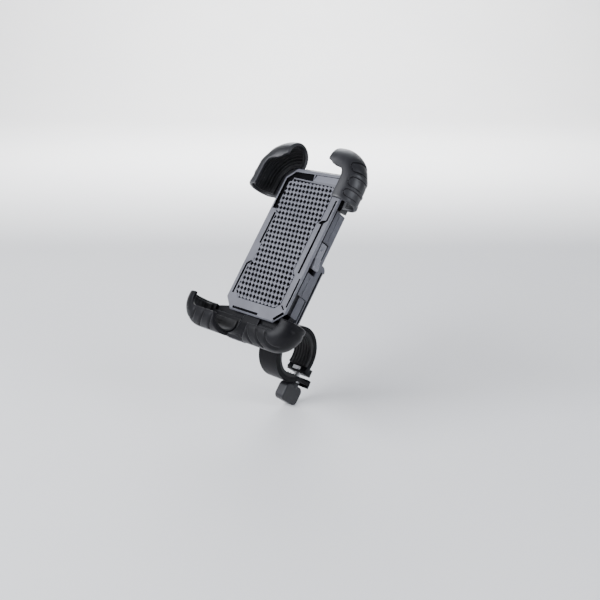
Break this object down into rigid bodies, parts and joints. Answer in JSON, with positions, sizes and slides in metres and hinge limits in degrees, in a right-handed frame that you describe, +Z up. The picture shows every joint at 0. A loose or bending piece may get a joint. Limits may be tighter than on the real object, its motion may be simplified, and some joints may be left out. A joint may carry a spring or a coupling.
{
  "type": "bicycle phone mount",
  "caption": "Handlebar phone mount: spring-loaded top and bottom corner claws on a reclined plate with a ball joint and hinged strap clamp.",
  "frame": {"origin": "centre of the handlebar bore", "axes": "+X along the handlebar, +Z up, +Y forward away from the rider"},
  "size_m": [0.0924, 0.0868, 0.1604],
  "materials": {
    "cover_plastic": "fine textured satin black-grey",
    "pad_rubber": "lattice-pattern grip",
    "housing_plastic": "satin black",
    "claw_plastic": "matte black",
    "liner_rubber": "soft ribbed",
    "clamp_plastic": "satin black, glass-filled",
    "clamp_rubber": "ribbed",
    "knob_plastic": "satin black",
    "stud_metal": "black satin",
    "steel": "zinc plated",
    "gear_plastic": "natural acetal"
  },
  "bodies": {
    "clamp_base": {"clamp_base": "clamp_plastic", "base_liner": "clamp_rubber", "clamp_nut": "steel", "hinge_pin": "steel"},
    "clamp_strap": {"clamp_strap": "clamp_plastic", "strap_liner": "clamp_rubber"},
    "thrust_washer": {"thrust_washer": "steel"},
    "thumb_screw": {"clamp_bolt": "steel", "wing_knob": "knob_plastic"},
    "ball_stud": {"ball_stud": "stud_metal"},
    "ball_cup": {"ball_cup": "gear_plastic"},
    "head": {"front_cover": "cover_plastic", "grip_pad": "pad_rubber", "mid_housing": "housing_plastic", "rear_cover": "housing_plastic", "cover_screws": "steel", "pinion_pin": "steel", "lock_pin": "steel", "upper_spring": "steel", "lower_spring": "steel"},
    "ring_nut": {"ring_nut": "clamp_plastic"},
    "upper_arm": {"upper_arm": "claw_plastic", "upper_claw_screws": "steel", "upper_right_claw": "claw_plastic", "upper_left_claw": "claw_plastic", "upper_right_liner": "liner_rubber", "upper_left_liner": "liner_rubber"},
    "lower_arm": {"lower_arm": "claw_plastic", "lower_claw_screws": "steel", "lower_right_claw": "claw_plastic", "lower_left_claw": "claw_plastic", "lower_right_liner": "liner_rubber", "lower_left_liner": "liner_rubber"},
    "sync_pinion": {"sync_pinion": "gear_plastic"},
    "lock_lever": {"lock_lever": "housing_plastic", "lock_shoe": "liner_rubber"}
  },
  "joints": [
    {"name": "strap_hinge", "type": "hinge", "parent": "clamp_base", "child": "clamp_strap", "pos_m": [0, -0.01441, 0.01329], "axis": [1, 0, 0], "range_deg": [-3.6, 0]},
    {"name": "washer_slide", "type": "slide", "parent": "clamp_base", "child": "thrust_washer", "axis": [0, 0.6114, 0.7913], "range_m": [-0.0025, 0]},
    {"name": "thumb_screw_turn", "type": "hinge", "parent": "thrust_washer", "child": "thumb_screw", "pos_m": [0, 0.00498, -0.02103], "axis": [0, 0.6114, 0.7913], "range_deg": [-900.1, 0]},
    {"name": "stud_swivel", "type": "hinge", "parent": "clamp_base", "child": "ball_stud", "pos_m": [0, 0, 0], "axis": [0, -0.0841, 0.9965], "continuous": true},
    {"name": "head_tilt", "type": "hinge", "parent": "ball_stud", "child": "ball_cup", "pos_m": [0, -0.00278, 0.03288], "axis": [1, 0, 0], "range_deg": [-94, 2]},
    {"name": "head_spin", "type": "hinge", "parent": "ball_cup", "child": "head", "pos_m": [0, -0.00278, 0.03288], "axis": [0, -0.7913, 0.6114], "continuous": true},
    {"name": "ring_nut_turn", "type": "hinge", "parent": "head", "child": "ring_nut", "pos_m": [0, -0.00278, 0.03288], "axis": [0, -0.7913, 0.6114], "range_deg": [-90, 0]},
    {"name": "upper_slide", "type": "slide", "parent": "head", "child": "upper_arm", "axis": [0, 0.6114, 0.7913], "range_m": [0, 0.024], "stiffness_N_per_m": 150, "springref_m": -0.03, "deforming": ["upper_spring"]},
    {"name": "lower_slide", "type": "slide", "parent": "head", "child": "lower_arm", "axis": [0, -0.6114, -0.7913], "range_m": [0, 0.024], "stiffness_N_per_m": 150, "springref_m": -0.03, "deforming": ["lower_spring"]},
    {"name": "pinion_spin", "type": "hinge", "parent": "head", "child": "sync_pinion", "pos_m": [0, -0.00238, 0.0697], "axis": [0, -0.7913, 0.6114], "range_deg": [-275.1, 0]},
    {"name": "lock_lever_rock", "type": "hinge", "parent": "head", "child": "lock_lever", "pos_m": [0.0235, -0.00452, 0.06693], "axis": [0, -0.7913, 0.6114], "range_deg": [-8, 0]}
  ],
  "couplings": [
    {"joint": "strap_hinge", "follows": "washer_slide", "rad_per_m": 24.6},
    {"joint": "thumb_screw_turn", "follows": "washer_slide", "rad_per_m": 6283.2},
    {"joint": "lower_slide", "follows": "upper_slide", "ratio": 1},
    {"joint": "pinion_spin", "follows": "upper_slide", "rad_per_m": -200}
  ]
}
